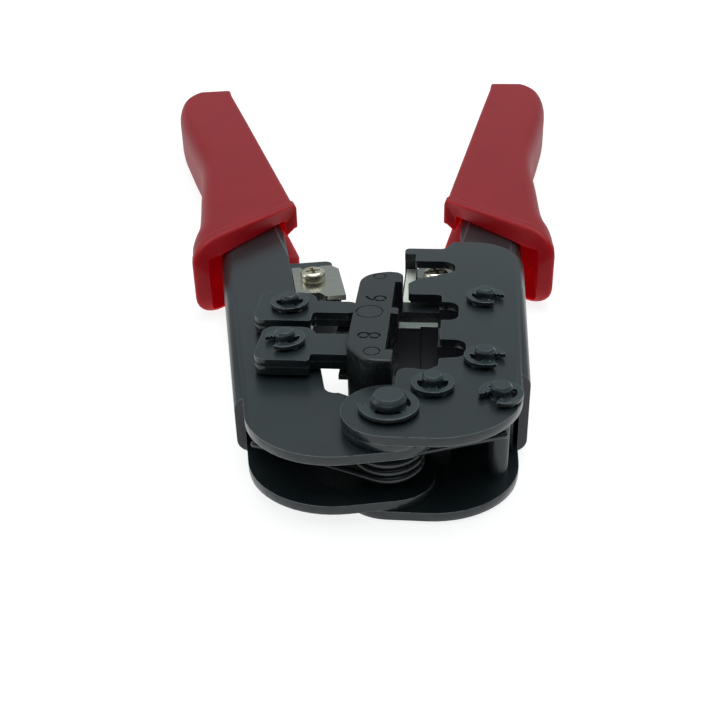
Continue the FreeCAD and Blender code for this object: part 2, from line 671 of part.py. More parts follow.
# ------------------------------------------------------------------- all nodes
def main():
    """Build and write every node."""
    clip_z = RIGHT_TOP + CLIP_LIFT
    link_clip_z = LINK_TOP + CLIP_LIFT
    save("right_frame", [right_frame()])
    save("left_frame", [left_frame()])
    save("right_grip", [right_grip()])
    save("left_grip", [left_grip()])
    save("main_pivot_pin", [pin((0, 0), MAIN_PIN_R, MAIN_GROOVE_R, RIGHT_BOTTOM, MAIN_PIN_TOP, clip_z)])
    save("main_pivot_clip", [clip((0, 0), MAIN_CLIP_R, MAIN_GROOVE_R, clip_z, 150)])
    save("pivot_washer", [ring((0, 0), PIVOT_LOBE_R - 0.1, MAIN_PIN_R + RUNNING,
                               INNER_TOP + 0.05, RIGHT_TOP - SHEET - 0.05)])
    save("torsion_spring", [torsion_spring()])
    save("plug_holder", [plug_holder()])
    save("latch_anvil", [latch_anvil()])
    save("die_pins", [right_pin(BACK_DIE_PIN), right_pin(FRONT_DIE_PIN)])
    save("guide_pin", [right_pin(GUIDE_PIN)])
    save("spring_stop_pin", [right_pin(STOP_PIN)])
    save("head_pin_clips", [right_clip(BACK_DIE_PIN, -30), right_clip(FRONT_DIE_PIN, -25),
                            right_clip(GUIDE_PIN, 92), right_clip(STOP_PIN, 225)])
    save("link_pins", [link_pin(LINK_PIN_8P), link_pin(LINK_PIN_6P)])
    save("link_pin_clips", [clip(LINK_PIN_8P, SMALL_CLIP_R, SMALL_GROOVE_R, link_clip_z, 213),
                            clip(LINK_PIN_6P, SMALL_CLIP_R, SMALL_GROOVE_R, link_clip_z, 100)])
    save("link_washers", [ring(place, 3.0, SMALL_PIN_R + RUNNING, INNER_TOP, LINK_BOTTOM - 0.05)
                          for place in (LINK_PIN_8P, LINK_PIN_6P)])
    save("link_8p", link(LINK_PIN_8P, LINK_8P_LENGTH, 5.4, 4.2, 4.3, 3.3))
    save("link_6p", link(LINK_PIN_6P, LINK_6P_LENGTH, 5.2, 5.3, 4.1, 2.1))
    punch_pin_8p = (LINK_PIN_8P[0] + LINK_8P_LENGTH, CENTRE_8P_Y)
    punch_pin_6p = (LINK_PIN_6P[0] + LINK_6P_LENGTH, CENTRE_6P_Y)
    punches = (("8p", punch_pin_8p, 9.4, -3.8, 8), ("6p", punch_pin_6p, 7.6, -6.6, 6))
    for name, place, width, tip_x, contacts in punches:
        back_x = place[0] - PUNCH_PIN_R - 0.3
        carrier = punch(place[1], width, tip_x, back_x, contacts).cut(punch_pin(place))
        save("punch_" + name, [carrier])
        save("punch_pin_" + name, [punch_pin(place)])
    save("cutting_blade", [left_blade(INNER_TOP - BLADE_SHEET, 0)])
    save("stripping_blade", [left_blade(INNER_BOTTOM, 1.6)])
    save("fixed_blade", [right_blade()])
    screw_place = turned_point(LEFT_SCREW, OPEN_ANGLE)
    save("left_blade_screws", [screw(screw_place, INNER_TOP, 3.6, 1),
                               screw(screw_place, INNER_BOTTOM, 3.6, -1)])
    save("right_blade_screw", [screw(RIGHT_SCREW, ledge_top() + BLADE_SHEET, 3.2, 1)])


main()
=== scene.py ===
import math

import bmesh
import bpy
from mathutils import Matrix, Vector


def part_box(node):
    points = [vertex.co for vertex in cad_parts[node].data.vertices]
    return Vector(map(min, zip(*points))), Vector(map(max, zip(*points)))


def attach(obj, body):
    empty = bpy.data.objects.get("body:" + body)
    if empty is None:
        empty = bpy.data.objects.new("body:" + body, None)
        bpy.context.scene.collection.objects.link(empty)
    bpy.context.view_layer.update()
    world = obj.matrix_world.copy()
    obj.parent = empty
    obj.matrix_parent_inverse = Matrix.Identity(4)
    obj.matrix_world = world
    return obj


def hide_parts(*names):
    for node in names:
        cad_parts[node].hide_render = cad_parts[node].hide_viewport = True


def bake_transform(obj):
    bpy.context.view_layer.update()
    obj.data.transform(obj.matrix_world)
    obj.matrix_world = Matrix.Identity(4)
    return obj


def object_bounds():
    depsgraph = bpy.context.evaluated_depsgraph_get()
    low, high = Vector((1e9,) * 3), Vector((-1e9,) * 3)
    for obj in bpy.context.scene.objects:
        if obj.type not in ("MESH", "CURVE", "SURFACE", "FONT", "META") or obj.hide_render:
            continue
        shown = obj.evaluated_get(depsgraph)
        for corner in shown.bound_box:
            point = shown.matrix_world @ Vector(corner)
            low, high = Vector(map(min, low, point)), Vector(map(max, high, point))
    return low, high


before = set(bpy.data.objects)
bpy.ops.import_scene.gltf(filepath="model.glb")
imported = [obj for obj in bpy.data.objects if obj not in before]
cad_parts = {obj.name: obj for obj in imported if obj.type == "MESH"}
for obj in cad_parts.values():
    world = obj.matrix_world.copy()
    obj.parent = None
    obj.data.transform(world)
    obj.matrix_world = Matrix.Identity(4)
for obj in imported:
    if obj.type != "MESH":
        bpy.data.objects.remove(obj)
cad_low, cad_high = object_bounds()

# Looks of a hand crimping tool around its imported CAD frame.
# Shapes below are worked out in millimetres in the row frame and scaled to metres.
MM = 0.001
OPEN_ANGLE = math.radians(13.0)     # the left half stands this far open at rest
LEFT_SHIFT = 0.4                    # the left handle lies this much further out

# ------------------------------------------------------------- node shortcuts


class Shader:
    """A node material under construction, based on one Principled BSDF."""

    def __init__(self, name):
        self.material = bpy.data.materials.new(name)
        self.material.use_nodes = True
        self.tree = self.material.node_tree
        self.surface = self.tree.nodes["Principled BSDF"]
        coordinates = self.tree.nodes.new("ShaderNodeTexCoord")
        self.place = coordinates.outputs["Object"]

    def node(self, kind, **settings):
        """New node; settings are its properties."""
        made = self.tree.nodes.new("ShaderNode" + kind)
        for key, value in settings.items():
            setattr(made, key, value)
        return made

    def feed(self, socket, value):
        """Link an output to an input socket, or set the input's value."""
        if isinstance(value, bpy.types.NodeSocket):
            self.tree.links.new(value, socket)
        else:
            socket.default_value = value

    def noise(self, per_mm, detail=2.0, stretch=(1, 1, 1), roughness=0.5):
        """Noise of the given frequency, 0 to 1."""
        mapping = self.node("Mapping")
        mapping.inputs["Scale"].default_value = Vector(stretch) * per_mm / MM
        self.feed(mapping.inputs["Vector"], self.place)
        made = self.node("TexNoise")
        made.inputs["Scale"].default_value = 1.0
        made.inputs["Detail"].default_value = detail
        made.inputs["Roughness"].default_value = roughness
        self.feed(made.inputs["Vector"], mapping.outputs["Vector"])
        return made.outputs["Fac"]

    def specks(self, per_mm, size):
        """Sparse round spots: 1 in a spot, 0 between them."""
        mapping = self.node("Mapping")
        mapping.inputs["Scale"].default_value = (per_mm / MM,) * 3
        self.feed(mapping.inputs["Vector"], self.place)
        cells = self.node("TexVoronoi")
        cells.inputs["Scale"].default_value = 1.0
        self.feed(cells.inputs["Vector"], mapping.outputs["Vector"])
        return self.ramp(cells.outputs["Distance"], size, size * 0.4)

    def ramp(self, value, low, high):
        """0 below low and 1 above high; the two may be swapped."""
        made = self.node("MapRange", interpolation_type="SMOOTHSTEP", clamp=True)
        self.feed(made.inputs["Value"], value)
        made.inputs["From Min"].default_value = min(low, high)
        made.inputs["From Max"].default_value = max(low, high)
        made.inputs["To Min"].default_value = 0.0 if low < high else 1.0
        made.inputs["To Max"].default_value = 1.0 if low < high else 0.0
        return made.outputs["Result"]

    def math(self, operation, first, second=0.0):
        """One arithmetic node."""
        made = self.node("Math", operation=operation)
        self.feed(made.inputs[0], first)
        self.feed(made.inputs[1], second)
        return made.outputs["Value"]

    def between(self, share, low, high):
        """Number from low to high as share goes from 0 to 1."""
        return self.math("ADD", self.math("MULTIPLY", share, high - low), low)

    def mix(self, share, first, second):
        """Colour from first to second."""
        made = self.node("Mix", data_type="RGBA")
        self.feed(made.inputs["Factor"], share)
        for socket, value in ((made.inputs[6], first), (made.inputs[7], second)):
            if isinstance(value, tuple):
                value = (*value, 1.0)
            self.feed(socket, value)
        return made.outputs[2]

    def edges(self, radius_mm):
        """1 on convex and concave edges within the radius, 0 on flats."""
        flat = 0.985            # cosine between the softened and the true normal
        turned = 0.90
        soft = self.node("Bevel", samples=4)
        soft.inputs["Radius"].default_value = radius_mm * MM
        geometry = self.node("NewGeometry")
        dot = self.node("VectorMath", operation="DOT_PRODUCT")
        self.feed(dot.inputs[0], soft.outputs["Normal"])
        self.feed(dot.inputs[1], geometry.outputs["True Normal"])
        return self.ramp(dot.outputs["Value"], flat, turned)

    def bump(self, height, depth_mm, strength=1.0, before=None):
        """Normal from a height between 0 and 1."""
        made = self.node("Bump")
        made.inputs["Strength"].default_value = strength
        made.inputs["Distance"].default_value = depth_mm * MM
        self.feed(made.inputs["Height"], height)
        if before is not None:
            self.feed(made.inputs["Normal"], before)
        return made.outputs["Normal"]

    def finish(self, colour, roughness, metallic=0.0, normal=None):
        """Connect everything to the surface."""
        if isinstance(colour, tuple):
            colour = (*colour, 1.0)
        self.feed(self.surface.inputs["Base Color"], colour)
        self.feed(self.surface.inputs["Roughness"], roughness)
        self.feed(self.surface.inputs["Metallic"], metallic)
        if normal is not None:
            self.feed(self.surface.inputs["Normal"], normal)
        return self.material


# ------------------------------------------------------------------ materials
DUST = (0.05, 0.06, 0.065)
RUBBED_EDGE_AND_HIGHLIGHT = (0.20, 0.24, 0.25)    # steel that shows through along an edge, and a painted highlight along the edge


def black_paint(name, shade, gloss_low, gloss_high, wear_and_highlight):
    """Glossy black finish on steel: faint orange peel, dust, edges lightened partly where bare steel
    shows through and partly as a painted highlight.
    """
    shader = Shader(name)
    blotches = shader.noise(0.12, 3.0)
    peel = shader.noise(2.2, 2.0)
    dust = shader.specks(0.55, 0.055)
    dark = (0.0110 * shade, 0.0162 * shade, 0.0190 * shade)
    pale = (0.0160 * shade, 0.0235 * shade, 0.0255 * shade)
    colour = shader.mix(blotches, dark, pale)
    colour = shader.mix(shader.math("MULTIPLY", dust, 0.35), colour, DUST)
    patches = shader.ramp(shader.noise(0.9, 4.0), 0.25, 0.50)
    # Edge lightening: bare steel in patches, and a painted highlight along every edge, concave ones too.
    rubbed_and_highlight = shader.math("MULTIPLY", shader.edges(0.16), patches)
    rubbed_and_highlight = shader.math("MULTIPLY", rubbed_and_highlight, wear_and_highlight)
    colour = shader.mix(rubbed_and_highlight, colour, RUBBED_EDGE_AND_HIGHLIGHT)
    roughness = shader.between(blotches, gloss_low, gloss_high)
    normal = shader.bump(peel, 0.012, 0.30)
    normal = shader.bump(dust, 0.03, 0.4, normal)
    return shader.finish(colour, roughness, shader.math("MULTIPLY", rubbed_and_highlight, 0.5), normal)


def cast_black():
    """Black casting of the plug holder: fine grain on top, rough flaky sides."""
    shader = Shader("holder_casting")
    geometry = shader.node("NewGeometry")
    split = shader.node("SeparateXYZ")
    shader.feed(split.inputs[0], geometry.outputs["True Normal"])
    sides = shader.ramp(split.outputs["Z"], 0.9, 0.5)
    grain = shader.noise(3.0, 4.0, roughness=0.7)
    lumps = shader.noise(0.8, 3.0)
    colour = shader.mix(lumps, (0.0075, 0.0105, 0.013), (0.012, 0.0165, 0.018))
    flakes = shader.math("MULTIPLY", shader.ramp(grain, 0.64, 0.74), sides)
    colour = shader.mix(flakes, colour, (0.045, 0.042, 0.038))
    # Edge lightening: bare metal showing through in patches, and a painted highlight along every edge.
    rubbed_and_highlight = shader.math("MULTIPLY", shader.edges(0.12), shader.ramp(grain, 0.40, 0.6))
    colour = shader.mix(shader.math("MULTIPLY", rubbed_and_highlight, 0.8), colour, (0.11, 0.13, 0.125))
    normal = shader.bump(grain, 0.03, 0.30)
    normal = shader.bump(shader.math("MULTIPLY", lumps, sides), 0.25, 0.8, normal)
    return shader.finish(colour, shader.between(grain, 0.30, 0.44), 0.0, normal)


def ground_steel(name, pale, dark, grain_direction):
    """Ground steel with lines along one direction and faint staining."""
    shader = Shader(name)
    lines = shader.noise(1.0, 4.0, stretch=grain_direction, roughness=0.65)
    stains = shader.noise(0.25, 3.0)
    colour = shader.mix(lines, dark, pale)
    colour = shader.mix(shader.math("MULTIPLY", shader.ramp(stains, 0.5, 0.75), 0.5), colour, dark)
    normal = shader.bump(lines, 0.01, 0.35)
    return shader.finish(colour, shader.between(lines, 0.16, 0.30), 1.0, normal)


def shear_steel(strip_to):
    """Polished blade with a rough ground strip on the left, up to a place in metres."""
    shader = Shader("shear_steel")
    split = shader.node("SeparateXYZ")
    shader.feed(split.inputs[0], shader.place)
    strip = shader.ramp(split.outputs["X"], strip_to, strip_to - 0.1 * MM)
    lines = shader.noise(1.0, 4.0, stretch=(4.0, 0.5, 1.0), roughness=0.65)
    pale = shader.mix(lines, (0.62, 0.64, 0.56), (0.80, 0.82, 0.74))
    colour = shader.mix(strip, (0.30, 0.31, 0.30), pale)
    roughness = shader.between(strip, 0.10, 0.50)
    metallic = shader.between(strip, 1.0, 0.55)
    return shader.finish(colour, roughness, metallic, shader.bump(lines, 0.01, 0.35))


def nickel():
    """Plated screw: bright, slightly yellow, with dull patches."""
    shader = Shader("plated_screw")
    patches = shader.noise(0.8, 4.0)
    fine = shader.noise(5.0, 2.0)
    colour = shader.mix(shader.ramp(patches, 0.4, 0.7), (0.78, 0.74, 0.60), (0.56, 0.50, 0.34))
    return shader.finish(colour, shader.between(patches, 0.16, 0.34), 1.0, shader.bump(fine, 0.012, 0.3))


def spring_wire():
    """Oiled dark spring wire with drawing lines and paler scuffed patches."""
    shader = Shader("spring_wire")
    lines = shader.noise(2.5, 3.0)
    blotches = shader.noise(0.4, 3.0)
    colour = shader.mix(blotches, (0.030, 0.034, 0.037), (0.065, 0.070, 0.072))
    return shader.finish(colour, shader.between(lines, 0.18, 0.30), 0.85, shader.bump(lines, 0.01, 0.3))


def anvil_steel(bright_from):
    """Blackened steel block; the bar's top, above a height in metres, is bare."""
    shader = Shader("anvil_steel")
    split = shader.node("SeparateXYZ")
    shader.feed(split.inputs[0], shader.place)
    bare = shader.ramp(split.outputs["Z"], bright_from, bright_from + 0.05 * MM)
    lines = shader.noise(1.0, 4.0, stretch=(0.4, 3.0, 1.0))
    blotches = shader.noise(0.5, 3.0)
    dark = shader.mix(blotches, (0.008, 0.010, 0.015), (0.014, 0.017, 0.023))
    pale = shader.mix(lines, (0.13, 0.15, 0.135), (0.22, 0.25, 0.225))
    colour = shader.mix(bare, dark, pale)
    roughness = shader.between(lines, 0.36, 0.5)
    metallic = shader.math("MULTIPLY", bare, 0.85)
    return shader.finish(colour, roughness, metallic, shader.bump(lines, 0.01, 0.3))


def soft_red(name, painted_glow):
    """Moulded red vinyl: matt grain, cloudy colour, scuffs, edges lightened partly by scuffing and
    partly as a painted highlight; glow is painted light, a red emission that stands in for light let
    through.
    """
    shader = Shader(name)
    grain = shader.noise(4.5, 3.0, roughness=0.6)
    clouds = shader.noise(0.06, 4.0)
    scuffs = shader.ramp(shader.noise(0.35, 5.0, stretch=(1, 0.35, 1), roughness=0.7), 0.60, 0.74)
    colour = shader.mix(clouds, (0.225, 0.0025, 0.007), (0.285, 0.004, 0.010))
    # Edges lightened: partly scuffing, partly a painted highlight, concave edges too.
    worn_and_highlight = shader.math("MULTIPLY", shader.edges(0.5), 0.22)
    colour = shader.mix(worn_and_highlight, colour, (0.42, 0.05, 0.07))
    colour = shader.mix(shader.math("MULTIPLY", scuffs, 0.10), colour, (0.34, 0.06, 0.08))
    made = shader.finish(colour, shader.between(grain, 0.46, 0.60), 0.0, shader.bump(grain, 0.02, 0.30))
    shader.surface.inputs["Specular IOR Level"].default_value = 0.24
    shader.surface.inputs["Subsurface Weight"].default_value = 0.75
    shader.surface.inputs["Subsurface Radius"].default_value = (3.2 * MM, 0.25 * MM, 0.2 * MM)
    shader.surface.inputs["Subsurface Scale"].default_value = 1.0
    # Painted light: the red emission makes the surface glow as if lit through the vinyl.
    shader.surface.inputs["Emission Color"].default_value = (1.0, 0.004, 0.012, 1.0)
    shader.surface.inputs["Emission Strength"].default_value = painted_glow
    return made


def white_floor():
    """Pale lit table: nearly white everywhere, only a trace of a shadow."""
    shader = Shader("studio_floor")
    wash = shader.noise(0.004, 2.0)
    colour = shader.mix(wash, (0.26, 0.26, 0.26), (0.30, 0.30, 0.30))
    made = shader.finish(colour, 0.9)
    shader.surface.inputs["Specular IOR Level"].default_value = 0.0
    shader.feed(shader.surface.inputs["Emission Color"], (1.0, 1.0, 1.0, 1.0))
    shader.surface.inputs["Emission Strength"].default_value = 0.85
    return made


# ------------------------------------------------------------------ CAD nodes
def soften_edges(obj, width_mm):
    """Fine rounding of the sharp edges of a CAD node, without touching its mesh."""
    weld = obj.modifiers.new("weld", "WELD")
    weld.merge_threshold = 0.001 * MM
    bevel = obj.modifiers.new("fine_edges", "BEVEL")
    bevel.width = width_mm * MM
    bevel.segments = 2
    bevel.limit_method = "ANGLE"
    bevel.angle_limit = math.radians(38)
    bevel.use_clamp_overlap = True
    bevel.harden_normals = True


def dress_cad_nodes():
    """Material and edge rounding of every CAD node that stays visible."""
    paint = black_paint("black_paint", 1.0, 0.24, 0.33, 0.8)
    steel = black_paint("blackened_steel", 1.6, 0.22, 0.32, 1.0)
    bar_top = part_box("latch_anvil")[1].z - 0.1 * MM
    blade = ground_steel("blade_steel", (0.56, 0.55, 0.49), (0.40, 0.39, 0.34), (0.5, 4.0, 1.0))
    shear = shear_steel(1.5 * MM)
    tooth = ground_steel("punch_steel", (0.20, 0.20, 0.19), (0.07, 0.07, 0.07), (4.0, 0.5, 1.0))
    anvil = anvil_steel(bar_top)
    looks = {
        "right_frame": (paint, 0.13), "left_frame": (paint, 0.13),
        "link_8p": (paint, 0.12), "link_6p": (paint, 0.12),
        "main_pivot_pin": (steel, 0.14), "main_pivot_clip": (steel, 0.08),
        "pivot_washer": (steel, 0.08), "die_pins": (steel, 0.10),
        "guide_pin": (steel, 0.10), "spring_stop_pin": (steel, 0.10),
        "head_pin_clips": (steel, 0.07), "link_pins": (steel, 0.10),
        "link_pin_clips": (steel, 0.07), "link_washers": (steel, 0.05),
        "plug_holder": (cast_black(), 0.10), "latch_anvil": (anvil, 0.10),
        "punch_8p": (tooth, 0.05), "punch_6p": (tooth, 0.05),
        "punch_pin_8p": (tooth, 0.08), "punch_pin_6p": (tooth, 0.08),
        "cutting_blade": (blade, 0.05), "stripping_blade": (blade, 0.05),
        "fixed_blade": (shear, 0.05),
        "left_blade_screws": (nickel(), 0.05), "right_blade_screw": (nickel(), 0.05),
    }
    for name, (material, width) in looks.items():
        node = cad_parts[name]
        for material_slot in node.material_slots:
            material_slot.material = material
        soften_edges(node, width)


# --------------------------------------------------------------------- meshes
def mesh_object(name, points, faces, materials, smooth_angle=32.0, parts=()):
    """Object from points in millimetres; edges sharper than the angle stay crisp.

    parts gives the first face of each further material.
    """
    mesh = bpy.data.meshes.new(name)
    mesh.from_pydata([Vector(p) * MM for p in points], [], faces)
    for material in materials:
        mesh.materials.append(material)
    for index, first in enumerate(parts):
        for face in mesh.polygons[first:]:
            face.material_index = index + 1
    cleaner = bmesh.new()
    cleaner.from_mesh(mesh)
    bmesh.ops.remove_doubles(cleaner, verts=cleaner.verts, dist=0.002 * MM)
    bmesh.ops.recalc_face_normals(cleaner, faces=cleaner.faces)
    cleaner.to_mesh(mesh)
    cleaner.free()
    mesh.polygons.foreach_set("use_smooth", [True] * len(mesh.polygons))
    mesh.set_sharp_from_angle(angle=math.radians(smooth_angle))
    obj = bpy.data.objects.new(name, mesh)
    bpy.context.scene.collection.objects.link(obj)
    return obj


def loft(rows):
    """Points and faces of a closed skin over equal rings of points: first end, sides, last end."""
    count = len(rows[0])
    points = [point for row in rows for point in row]
    faces = [tuple(range(count))]
    for r in range(len(rows) - 1):
        for i in range(count):
            j = (i + 1) % count
            faces.append((r * count + i, r * count + j, (r + 1) * count + j, (r + 1) * count + i))
    faces.append(tuple(reversed(range((len(rows) - 1) * count, len(rows) * count))))
    return points, faces


def curve_through(knots, at):
    """Smooth curve through (position, value) knots, evaluated at a position."""
    if at <= knots[0][0]:
        return knots[0][1]
    if at >= knots[-1][0]:
        return knots[-1][1]
    i = 1
    while knots[i][0] < at:
        i += 1
    x0, y0 = knots[i - 1]
    x1, y1 = knots[i]
    slope0 = knot_slope(knots, i - 1)
    slope1 = knot_slope(knots, i)
    span = x1 - x0
    t = (at - x0) / span
    return ((2 * t**3 - 3 * t**2 + 1) * y0 + (t**3 - 2 * t**2 + t) * span * slope0
            + (-2 * t**3 + 3 * t**2) * y1 + (t**3 - t**2) * span * slope1)


def knot_slope(knots, i):
    """Slope of the curve at one knot, from its neighbours."""
    before = knots[max(i - 1, 0)]
    after = knots[min(i + 1, len(knots) - 1)]
    return (after[1] - before[1]) / (after[0] - before[0])


def smooth_step(value, low, high):
    """0 below low, 1 above high, smooth between."""
    t = min(max((value - low) / (high - low), 0.0), 1.0)
    return t * t * (3 - 2 * t)


# ----------------------------------------------------------------------- grips
GRIP_TOP = 14.8
GRIP_BOTTOM = 0.0
GRIP_END = 182.0
END_ROUNDING = 2.2              # of the far end, seen from the side
END_CORNER_IN = 2.2             # of the far end, seen from above
END_CORNER_OUT = 8.5
RIM_INNER_Y = 80.4              # slanted front edge: inner and outer ends
RIM_OUTER_Y = 61.2
FLANGE = 3.2                    # length of the raised band behind the rim
FLANGE_LIFT = 0.4
HOLLOW_X = (8.3, 24.3)          # mouth of the hollow guard
HOLLOW_Z = (1.1, 11.8)
HOLLOW_DEPTH = 17.0
HANDLE_Z = (1.95, 11.55)        # room of the handle in the grip
HANDLE_END = 166.1
SLOT_Z = (3.3, 9.7)             # slot in the inner wall of the guard
SLOT_LENGTH = 17.0
INNER_EDGE = ((60.0, 5.9), (78.0, 6.0), (86.0, 6.8), (120.0, 10.7), (150.0, 14.1), (178.0, 17.4))
OUTER_EDGE = ((58.0, 26.9), (68.0, 27.3), (72.5, 27.0), (76.5, 26.3), (82.0, 25.9), (95.0, 25.8),
              (108.0, 25.6), (116.0, 25.9), (124.0, 26.9), (132.0, 28.2), (142.0, 29.7),
              (152.0, 31.1), (162.0, 31.9), (170.0, 31.9), (178.0, 31.0))
CORNER_R = (1.3, 4.2)           # rounding of the inner and outer edges


def section_angles(steps):
    """Quarter turn in equal steps, ends included."""
    return [math.pi / 2 * i / steps for i in range(steps + 1)]


def section(width, low, high, inner_r, outer_r):
    """Rounded section: list of (distance across from the inner edge, height)."""
    sides = []
    flat_steps = 9
    corner_steps = 7
    centres = ((inner_r, low + inner_r, inner_r, 180), (width - outer_r, low + outer_r, outer_r, 270),
               (width - outer_r, high - outer_r, outer_r, 0), (inner_r, high - inner_r, inner_r, 90))
    for index, (cx, cz, radius, start) in enumerate(centres):
        for angle in section_angles(corner_steps):
            turn = math.radians(start) + angle
            sides.append((cx + radius * math.cos(turn), cz + radius * math.sin(turn)))
        following = centres[(index + 1) % 4]
        turn = math.radians(following[3])
        first = sides[-1]
        last = (following[0] + following[2] * math.cos(turn),
                following[1] + following[2] * math.sin(turn))
        steps = flat_steps * (3 if index == 3 else 1)
        for step in range(1, steps):
            t = step / steps
            sides.append((first[0] + (last[0] - first[0]) * t, first[1] + (last[1] - first[1]) * t))
    return sides


def rim_y(share):
    """Front edge of the guard: share 0 at the inner edge, 1 at the outer edge."""
    return RIM_INNER_Y + (RIM_OUTER_Y - RIM_INNER_Y) * share


def slot_setback(share, z):
    """How far the rim is set back by the slot in the inner wall."""
    inside = share < 0.12 and SLOT_Z[0] < z < SLOT_Z[1]
    return SLOT_LENGTH if inside else 0.0


def outer_point(share, z_share, y):
    """Point of the grip's outer skin."""
    behind = y - rim_y(share)
    lift = FLANGE_LIFT * (1 - smooth_step(behind, FLANGE - 0.35, FLANGE))
    end = max(0.0, y - (GRIP_END - END_ROUNDING)) / END_ROUNDING
    inset = END_ROUNDING * (1 - math.sqrt(max(0.0, 1 - min(end, 1.0) ** 2)))
    x_in = curve_through(INNER_EDGE, y) - lift * 0.6 + end_corner(y, END_CORNER_IN)
    x_out = curve_through(OUTER_EDGE, y) + lift * 0.4 - end_corner(y, END_CORNER_OUT)
    low = GRIP_BOTTOM + inset
    high = GRIP_TOP + lift - inset
    return (x_in + (x_out - x_in) * share, y, low + (high - low) * z_share)


def end_corner(y, radius):
    """Inset of the plan outline by its rounded far corner."""
    reach = min(max(0.0, y - (GRIP_END - radius)) / radius, 1.0)
    return radius * (1 - math.sqrt(1 - reach ** 2)) * 0.93


def grip_shares(low, high, width, radii):
    """Section as shares (across, up) of its box."""
    ring = section(width, low, high, *radii)
    return [(x / width, (z - low) / (high - low)) for x, z in ring]


RIM_ANGLES = section_angles(4)[1:]
# Rings of the outer skin close to the rim, where the flange steps down: mm behind the rim.
RIM_RINGS = [0.25, 0.5, 0.8, 1.4, 2.0, 2.6, 2.85, 3.0, 3.1, 3.2, 3.35, 3.7, 4.4, 5.4, 6.6, 8.0,
             10.0, 12.5]
BODY_RINGS = 40                 # further rings up to the far end


def right_grip_mesh():
    """Rings of the right grip: outer skin from the far end to the rim, then the hollow."""
    ring = grip_shares(GRIP_BOTTOM, GRIP_TOP, 19.0, CORNER_R)
    height = GRIP_TOP - GRIP_BOTTOM
    lines = []
    for share, up in ring:
        z = GRIP_BOTTOM + height * up
        lines.append((share, up, rim_y(share) + slot_setback(share, z)))
    length = GRIP_END - RIM_INNER_Y
    near = RIM_RINGS[-1]
    far = [near + (length - near) * math.sin(math.pi / 2 * i / BODY_RINGS)
           for i in range(1, BODY_RINGS + 1)]
    rows = []
    for distance in reversed(RIM_RINGS + far):
        rows.append([outer_point(share, up, start + (GRIP_END - start) * distance / length)
                     for share, up, start in lines])
    rim_start = 1 + (len(rows) - 1) * len(ring)
    hollow_start = rim_start + (len(RIM_ANGLES) + 1) * len(ring)
    points, faces = loft(rows + rim_rows(lines) + hollow_rows(lines))
    return points, faces, (rim_start, hollow_start)


def squared(share, up):
    """Point of a rounded section pushed out to the sharp rectangle around it."""
    across = 2 * share - 1
    along = 2 * up - 1
    reach = max(abs(across), abs(along))
    return (across / reach + 1) / 2, (along / reach + 1) / 2


def rim_rows(lines):
    """Rounded front edge of the rim."""
    edge_r = 0.7
    rows = []
    for angle in RIM_ANGLES:
        inset = edge_r * (1 - math.cos(angle))
        ahead = edge_r * (math.sin(angle) - 0.35)
        row = []
        for share, up, start in lines:
            x, y, z = outer_point(share, up, start)
            centre = outer_point(0.5, 0.5, start)
            toward = Vector((centre[0] - x, 0, centre[2] - z)).normalized()
            row.append((x + toward.x * inset, y - ahead, z + toward.z * inset))
        rows.append(row)
    return rows


def hollow_point(share, up, y):
    """Point of the inner skin: wide in the guard, then close around the handle."""
    narrow = smooth_step(y - rim_y(share), HOLLOW_DEPTH - 3.0, HOLLOW_DEPTH)
    x_in = HOLLOW_X[0] + narrow * (handle_inner(y) - HOLLOW_X[0])
    x_out = HOLLOW_X[1] + narrow * (handle_outer(y) - HOLLOW_X[1])
    low = HOLLOW_Z[0] + narrow * (HANDLE_Z[0] - HOLLOW_Z[0])
    high = HOLLOW_Z[1] + narrow * (HANDLE_Z[1] - HOLLOW_Z[1])
    across, height = squared(share, up)
    return (x_in + (x_out - x_in) * across, y, low + (high - low) * height)


def hollow_rows(lines):
    """Inner skin, from the rim to the end of the handle's room."""
    rows = []
    for depth in (-0.2, 0.15, 4.0, 9.0, 14.0, 15.0, 16.0, 17.0):
        rows.append([hollow_point(share, up, start + depth) for share, up, start in lines])
    for y in (120.0, 145.0, HANDLE_END):
        rows.append([hollow_point(share, up, y) for share, up, start in lines])
    return rows


def handle_inner(y):
    """Inner edge of the handle inside the grip, with clearance."""
    return 9.45 + max(0.0, y - 80.0) * 0.113


def handle_outer(y):
    """Outer edge of the handle inside the grip, with clearance."""
    if y < 90:
        return 20.95 + (y - 56.0) / 34.0
    return 21.95 + (y - 90) * 0.083


def make_grips():
    """Both grips; the left one is the mirror image, turned open."""
    # The rim and the hollow get a painted glow, the hollow the stronger one.
    vinyl = [soft_red("grip_vinyl", 0.0), soft_red("grip_rim_painted_glow", 0.07), soft_red("grip_hollow_painted_glow", 0.13)]
    points, faces, parts = right_grip_mesh()
    right = mesh_object("right_grip_sleeve", points, faces, vinyl, parts=parts)
    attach(right, "right_half")
    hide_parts("right_grip")
    turn = Matrix.Rotation(OPEN_ANGLE, 3, "Z")
    mirrored = [turn @ Vector((-x - LEFT_SHIFT, y, z)) for x, y, z in points]
    left = mesh_object("left_grip_sleeve", mirrored, faces, vinyl, parts=parts)
    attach(left, "left_half")
    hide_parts("left_grip")


# ---------------------------------------------------------------------- spring
COIL_R = 4.5
WIRE_R = 0.6


def tangent_angle(foot, radius, side):
    """Direction of the coil point where a straight leg meets it."""
    return math.atan2(foot[1], foot[0]) + side * math.acos(radius / math.hypot(*foot))


